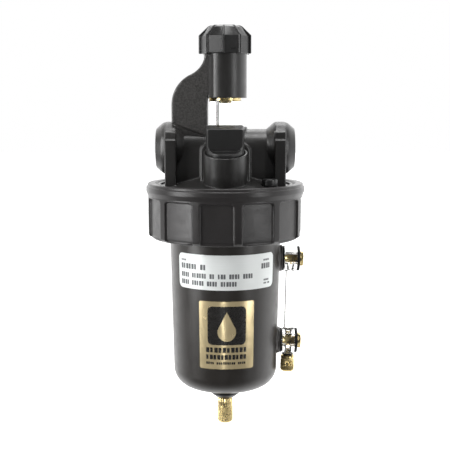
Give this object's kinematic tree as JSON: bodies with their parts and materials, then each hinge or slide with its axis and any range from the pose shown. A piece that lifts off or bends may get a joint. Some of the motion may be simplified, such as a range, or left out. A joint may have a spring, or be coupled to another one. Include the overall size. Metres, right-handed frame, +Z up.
{
  "type": "compressed air lubricator",
  "caption": "Pipe-mounted compressed-air oil-mist lubricator: cast head with sight-feed glass, drip knob and fill plug, and a metal bowl with level gauge and drain under a clamp ring.",
  "frame": {"origin": "on the bowl's vertical axis, level with the foot of the drain knob, which is the bottom centre of the whole part", "axes": "+X towards the outlet port and the level gauge's side, +Z up along the bowl's axis to the drip knob, -Y to the fill plug and the labels"},
  "size_m": [0.109, 0.109, 0.2777],
  "materials": {
    "black_coated_metal": "satin black powder coat",
    "black_nylon": "satin moulded glass-filled nylon",
    "black_rubber": "matt nitrile rubber",
    "brass": "bright turned brass",
    "sintered_bronze": "matt sintered bronze",
    "steel": "bright stainless steel",
    "clear_glass": "clear polished",
    "natural_nylon": "natural off-white nylon",
    "silver_plate": "satin silver sheet, no lettering",
    "gold_plate": "satin gold sheet, no lettering"
  },
  "bodies": {
    "head": {"head_casting": "black_coated_metal", "sight_glass": "clear_glass", "sight_glass_lower_seal": "black_rubber", "sight_glass_upper_seal": "black_rubber", "drip_nozzle": "brass", "metering_bushing": "brass", "needle_seal": "black_rubber", "knob_retaining_ring": "steel", "venturi_insert": "natural_nylon", "vane_pin": "steel", "vane_spring": "steel", "siphon_tube": "natural_nylon", "siphon_cage": "brass", "siphon_strainer": "sintered_bronze", "splash_baffle": "natural_nylon", "bowl_seal": "black_rubber"},
    "knob": {"adjusting_knob": "black_nylon"},
    "needle": {"metering_needle": "brass"},
    "fill_seal": {"fill_plug_seal": "black_rubber"},
    "fill_plug": {"fill_plug": "black_nylon"},
    "vent_seal": {"vent_screw_seal": "black_rubber"},
    "vent_screw": {"vent_screw": "black_nylon"},
    "bowl": {"bowl": "black_coated_metal", "ring_slip_washer": "natural_nylon", "rating_plate": "silver_plate", "name_plate": "gold_plate", "gauge_column": "clear_glass", "gauge_upper_inner_seal": "black_rubber", "gauge_upper_outer_seal": "black_rubber", "gauge_lower_inner_seal": "black_rubber", "gauge_lower_outer_seal": "black_rubber", "gauge_upper_bolt": "brass", "gauge_lower_bolt": "brass", "drain_gasket": "black_rubber", "drain_fitting": "brass", "drain_nut": "black_nylon"},
    "clamp_ring": {"clamp_ring": "black_nylon"},
    "drain_seal": {"drain_seal": "black_rubber"},
    "drain_knob": {"drain_knob": "brass"},
    "gauge_drain_seal": {"gauge_drain_seal": "black_rubber"},
    "gauge_drain_plug": {"gauge_drain_plug": "brass"},
    "check_ball": {"siphon_check_ball": "steel"},
    "flow_vane": {"flow_vane": "natural_nylon"}
  },
  "joints": [
    {"name": "knob_turn", "type": "hinge", "parent": "head", "child": "knob", "pos_m": [0, 0, 0.2652], "axis": [0, 0, 1], "range_deg": [0, 1080]},
    {"name": "needle_lift", "type": "slide", "parent": "head", "child": "needle", "axis": [0, 0, 1], "range_m": [0, 0.00225]},
    {"name": "fill_plug_lift", "type": "slide", "parent": "head", "child": "fill_seal", "axis": [0, -0.2588, 0.9659], "range_m": [0, 0.009]},
    {"name": "fill_plug_turn", "type": "hinge", "parent": "fill_seal", "child": "fill_plug", "pos_m": [0, -0.03, 0.1938], "axis": [0, -0.2588, 0.9659], "range_deg": [0, 1080]},
    {"name": "vent_screw_lift", "type": "slide", "parent": "head", "child": "vent_seal", "axis": [0, 0, 1], "range_m": [0, 0.0016]},
    {"name": "vent_screw_turn", "type": "hinge", "parent": "vent_seal", "child": "vent_screw", "pos_m": [0.0296, -0.0223, 0.1697], "axis": [0, 0, 1], "range_deg": [0, 720]},
    {"name": "bowl_lower", "type": "slide", "parent": "head", "child": "bowl", "axis": [0, 0, -1], "range_m": [0, 0.012]},
    {"name": "ring_turn", "type": "hinge", "parent": "bowl", "child": "clamp_ring", "pos_m": [0, 0, 0.1552], "axis": [0, 0, -1], "range_deg": [0, 1080]},
    {"name": "drain_lower", "type": "slide", "parent": "bowl", "child": "drain_seal", "axis": [0, 0, -1], "range_m": [0, 0.002]},
    {"name": "drain_turn", "type": "hinge", "parent": "drain_seal", "child": "drain_knob", "pos_m": [0, 0, 0.0152], "axis": [0, 0, -1], "range_deg": [0, 720]},
    {"name": "gauge_drain_lower", "type": "slide", "parent": "bowl", "child": "gauge_drain_seal", "axis": [-0.0207, 0, -0.9998], "range_m": [0, 0.0016]},
    {"name": "gauge_drain_turn", "type": "hinge", "parent": "gauge_drain_seal", "child": "gauge_drain_plug", "pos_m": [0.04415, 0, 0.05079], "axis": [-0.0207, 0, -0.9998], "range_deg": [0, 720]},
    {"name": "check_ball_lift", "type": "slide", "parent": "head", "child": "check_ball", "axis": [0, 0, 1], "range_m": [0, 0.0012]},
    {"name": "vane_swing", "type": "hinge", "parent": "head", "child": "flow_vane", "pos_m": [-0.02, 0, 0.2], "axis": [0, -1, 0], "range_deg": [0, 50], "stiffness_Nm_per_rad": 0.002}
  ],
  "couplings": [
    {"joint": "knob_turn", "follows": "needle_lift", "rad_per_m": 8377.6},
    {"joint": "fill_plug_turn", "follows": "fill_plug_lift", "rad_per_m": 2094.4},
    {"joint": "vent_screw_turn", "follows": "vent_screw_lift", "rad_per_m": 7854},
    {"joint": "ring_turn", "follows": "bowl_lower", "rad_per_m": 1570.8},
    {"joint": "drain_turn", "follows": "drain_lower", "rad_per_m": 6283.2},
    {"joint": "gauge_drain_turn", "follows": "gauge_drain_lower", "rad_per_m": 7854}
  ]
}
